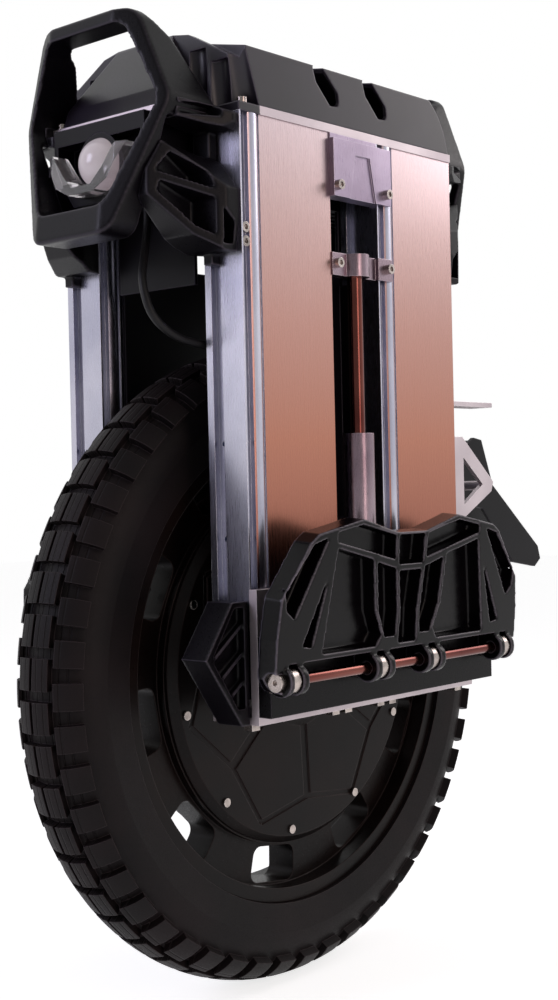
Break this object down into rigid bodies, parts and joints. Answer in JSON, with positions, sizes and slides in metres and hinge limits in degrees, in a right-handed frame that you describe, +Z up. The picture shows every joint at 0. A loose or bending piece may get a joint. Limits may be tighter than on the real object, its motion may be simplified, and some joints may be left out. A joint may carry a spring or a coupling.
{
  "type": "electric unicycle",
  "caption": "Suspended electric unicycle: a knobbly hub-motor wheel between battery cases that slide on a hanger with folding pedals, with loops and lights front and rear.",
  "frame": {"origin": "the point where the tyre stands on the ground, straight under the axle", "axes": "+X forward, +Y to the rider's left along the axle, +Z up"},
  "size_m": [0.5859, 0.285, 0.7249],
  "materials": {
    "tyre_rubber": "matt moulded rubber",
    "rubber": "matt",
    "black_casting": "black powder coat",
    "pedal_casting": "satin black coat",
    "extrusion": "brushed and anodised",
    "plate": "machined and anodised",
    "bracket": "dark anodised",
    "heat_sink": "black anodised",
    "rod": "hard chrome, polished",
    "steel": "bright",
    "motor_steel": "plain",
    "copper": "enamelled wire",
    "black_plastic": "fine grain",
    "button_plastic": "gloss",
    "pack_wrap": "shrink wrap",
    "board": "solder mask",
    "clear": "clear polycarbonate",
    "red_lens": "gloss"
  },
  "bodies": {
    "hanger": {"hanger_left": "plate", "hanger_right": "plate", "axle_blocks": "plate", "slide_blocks": "black_plastic", "bumper_guards": "black_plastic", "pedal_bases": "pedal_casting", "hinge_lugs": "steel", "hinge_rods": "steel", "hinge_screws": "steel", "hanger_bolts": "steel", "shock_tubes": "plate", "stator_core": "motor_steel", "stator_windings": "copper", "axle": "steel"},
    "wheel": {"tyre": "tyre_rubber", "rim": "black_casting", "tyre_valve": "rubber", "hub_covers": "black_casting", "hub_screws": "steel", "magnet_ring": "motor_steel", "wheel_bearings": "steel"},
    "frame": {"battery_case_front_left": "extrusion", "battery_case_front_right": "extrusion", "battery_case_rear_left": "extrusion", "battery_case_rear_right": "extrusion", "battery_packs": "pack_wrap", "battery_bottom_caps": "black_plastic", "top_plate": "plate", "corner_blocks": "black_plastic", "top_cover": "black_plastic", "front_hood": "black_plastic", "controller_box": "heat_sink", "controller_board": "board", "power_switch": "black_plastic", "front_loop": "black_plastic", "front_bracket_left": "black_plastic", "front_bracket_right": "black_plastic", "headlight_housing": "black_plastic", "headlight_projector": "black_plastic", "headlight_lens": "clear", "headlight_bezel": "clear", "headlight_cable": "rubber", "splash_panel": "black_plastic", "inner_liners": "black_plastic", "rear_loop": "black_plastic", "rear_brackets": "black_plastic", "tail_light_housing": "black_plastic", "tail_light_lens": "red_lens", "slot_brackets": "bracket", "shock_collars": "plate", "shock_rods": "rod", "fender": "black_plastic", "fender_brackets": "plate", "rear_stay": "plate", "frame_screws": "steel"},
    "pedal_left": {"pedal_left": "pedal_casting", "pedal_grip_left": "rubber"},
    "pedal_right": {"pedal_right": "pedal_casting", "pedal_grip_right": "rubber"},
    "button": {"power_button": "button_plastic"}
  },
  "joints": [
    {"name": "wheel_spin", "type": "hinge", "parent": "hanger", "child": "wheel", "pos_m": [0, 0, 0.25], "axis": [0, 1, 0], "continuous": true},
    {"name": "suspension", "type": "slide", "parent": "hanger", "child": "frame", "axis": [0, 0, -1], "range_m": [0, 0.06], "stiffness_N_per_m": 8000, "springref_m": -0.05},
    {"name": "pedal_left_fold", "type": "hinge", "parent": "hanger", "child": "pedal_left", "pos_m": [0, 0.128, 0.256], "axis": [-1, 0, 0], "range_deg": [0, 84.5]},
    {"name": "pedal_right_fold", "type": "hinge", "parent": "hanger", "child": "pedal_right", "pos_m": [0, -0.128, 0.256], "axis": [1, 0, 0], "range_deg": [0, 84.5]},
    {"name": "power_button_press", "type": "slide", "parent": "frame", "child": "button", "axis": [0, 0, -1], "range_m": [0, 0.0015], "stiffness_N_per_m": 800, "springref_m": -0.001}
  ]
}
